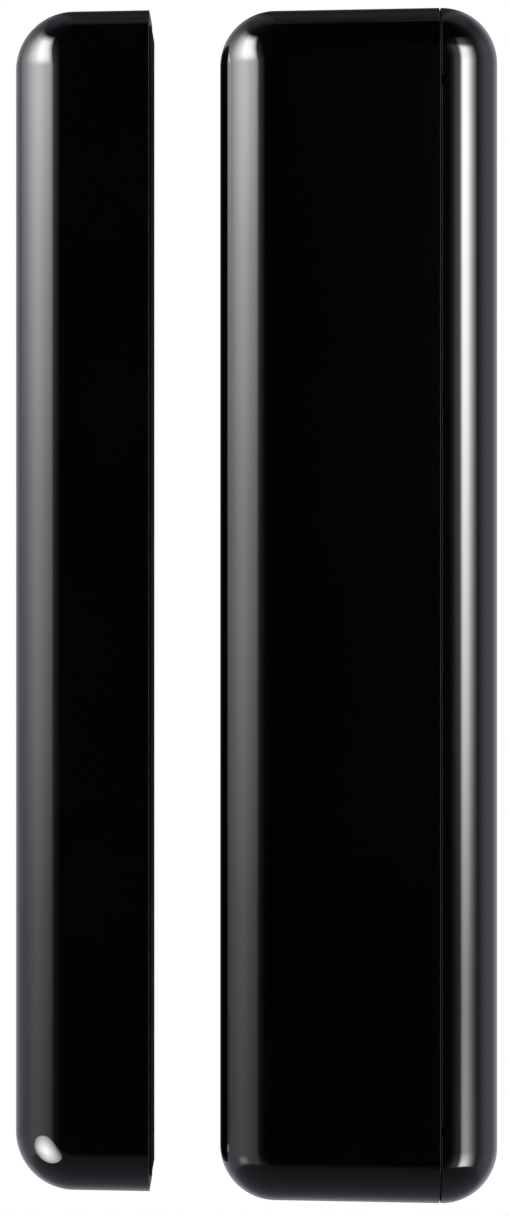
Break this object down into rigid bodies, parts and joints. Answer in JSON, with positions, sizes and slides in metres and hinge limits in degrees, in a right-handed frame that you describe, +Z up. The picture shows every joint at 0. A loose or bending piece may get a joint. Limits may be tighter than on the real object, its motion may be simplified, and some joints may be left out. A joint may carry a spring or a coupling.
{
  "type": "door contact sensor",
  "caption": "Wireless door contact: a glossy black sensor with a clip-on side cover, and the slim magnet unit that sits beside it on the door.",
  "frame": {"origin": "on the wall face of the sensor's adhesive pad, where the sensor's vertical and horizontal centre lines cross it", "axes": "+X from the magnet unit towards the sensor and out through the side cover, +Y into the wall that the pads stick to, +Z up along both units"},
  "size_m": [0.0445, 0.025, 0.1104],
  "materials": {
    "gloss_black_housing": "gloss",
    "matte_black_plate": "matte",
    "adhesive_foam": "matte",
    "board_laminate": "satin",
    "screw_steel": "satin",
    "chip_resin": "matte",
    "crystal_can": "satin",
    "capacitor_can": "satin",
    "chip_part_ceramic": "matte",
    "led_lens": "gloss",
    "aerial_copper": "satin",
    "reed_glass": "gloss",
    "reed_alloy": "satin",
    "switch_black": "matte",
    "plunger_white": "satin",
    "spring_steel": "satin",
    "button_black": "satin",
    "cell_can": "satin",
    "cell_sleeve": "gloss",
    "holder_black": "matte",
    "contact_nickel": "satin",
    "magnet_ferrite": "matte",
    "magnet_foam": "matte"
  },
  "bodies": {
    "sensor": {"sensor_housing": "gloss_black_housing", "sensor_adhesive_pad": "adhesive_foam", "circuit_board": "board_laminate", "board_screws": "screw_steel", "microcontroller": "chip_resin", "radio_chip": "chip_resin", "crystal": "crystal_can", "bulk_capacitor": "capacitor_can", "chip_parts": "chip_part_ceramic", "status_led": "led_lens", "aerial": "aerial_copper", "reed_glass": "reed_glass", "reed_fixed_blade": "reed_alloy", "reed_upper_lead": "reed_alloy", "tamper_switch_body": "switch_black", "tamper_spring": "spring_steel", "pairing_switch_body": "switch_black", "battery_can": "cell_can", "battery_sleeve": "cell_sleeve", "battery_holder": "holder_black", "battery_positive_contact": "contact_nickel", "battery_negative_contact": "contact_nickel", "battery_spring": "spring_steel"},
    "side_cover": {"side_cover": "gloss_black_housing"},
    "tamper_plunger": {"tamper_plunger": "plunger_white"},
    "pairing_button": {"pairing_button": "button_black"},
    "reed_blade": {"reed_moving_blade": "reed_alloy"},
    "magnet_unit": {"magnet_housing": "gloss_black_housing", "magnet_side_plate": "matte_black_plate", "bar_magnet": "magnet_ferrite", "magnet_foam": "magnet_foam", "magnet_adhesive_pad": "adhesive_foam"}
  },
  "joints": [
    {"name": "cover_slide", "type": "slide", "parent": "sensor", "child": "side_cover", "axis": [1, 0, 0], "range_m": [0, 0.025]},
    {"name": "tamper_plunger_slide", "type": "slide", "parent": "sensor", "child": "tamper_plunger", "axis": [1, 0, 0], "range_m": [0, 0.0012], "deforming": ["tamper_spring"]},
    {"name": "pairing_button_press", "type": "slide", "parent": "sensor", "child": "pairing_button", "axis": [-1, 0, 0], "range_m": [0, 0.00025], "stiffness_N_per_m": 1000, "springref_m": -0.0005},
    {"name": "magnet_travel", "type": "slide", "parent": "sensor", "child": "magnet_unit", "axis": [-1, 0, 0], "range_m": [0, 0.04]},
    {"name": "reed_blade_flex", "type": "hinge", "parent": "sensor", "child": "reed_blade", "pos_m": [-0.00524, -0.01, 0.0202], "axis": [0, -1, 0], "range_deg": [0, 2.3]}
  ],
  "couplings": [
    {"joint": "tamper_plunger_slide", "follows": "cover_slide", "ratio": 0.048},
    {"joint": "reed_blade_flex", "follows": "magnet_travel", "rad_per_m": 1}
  ]
}
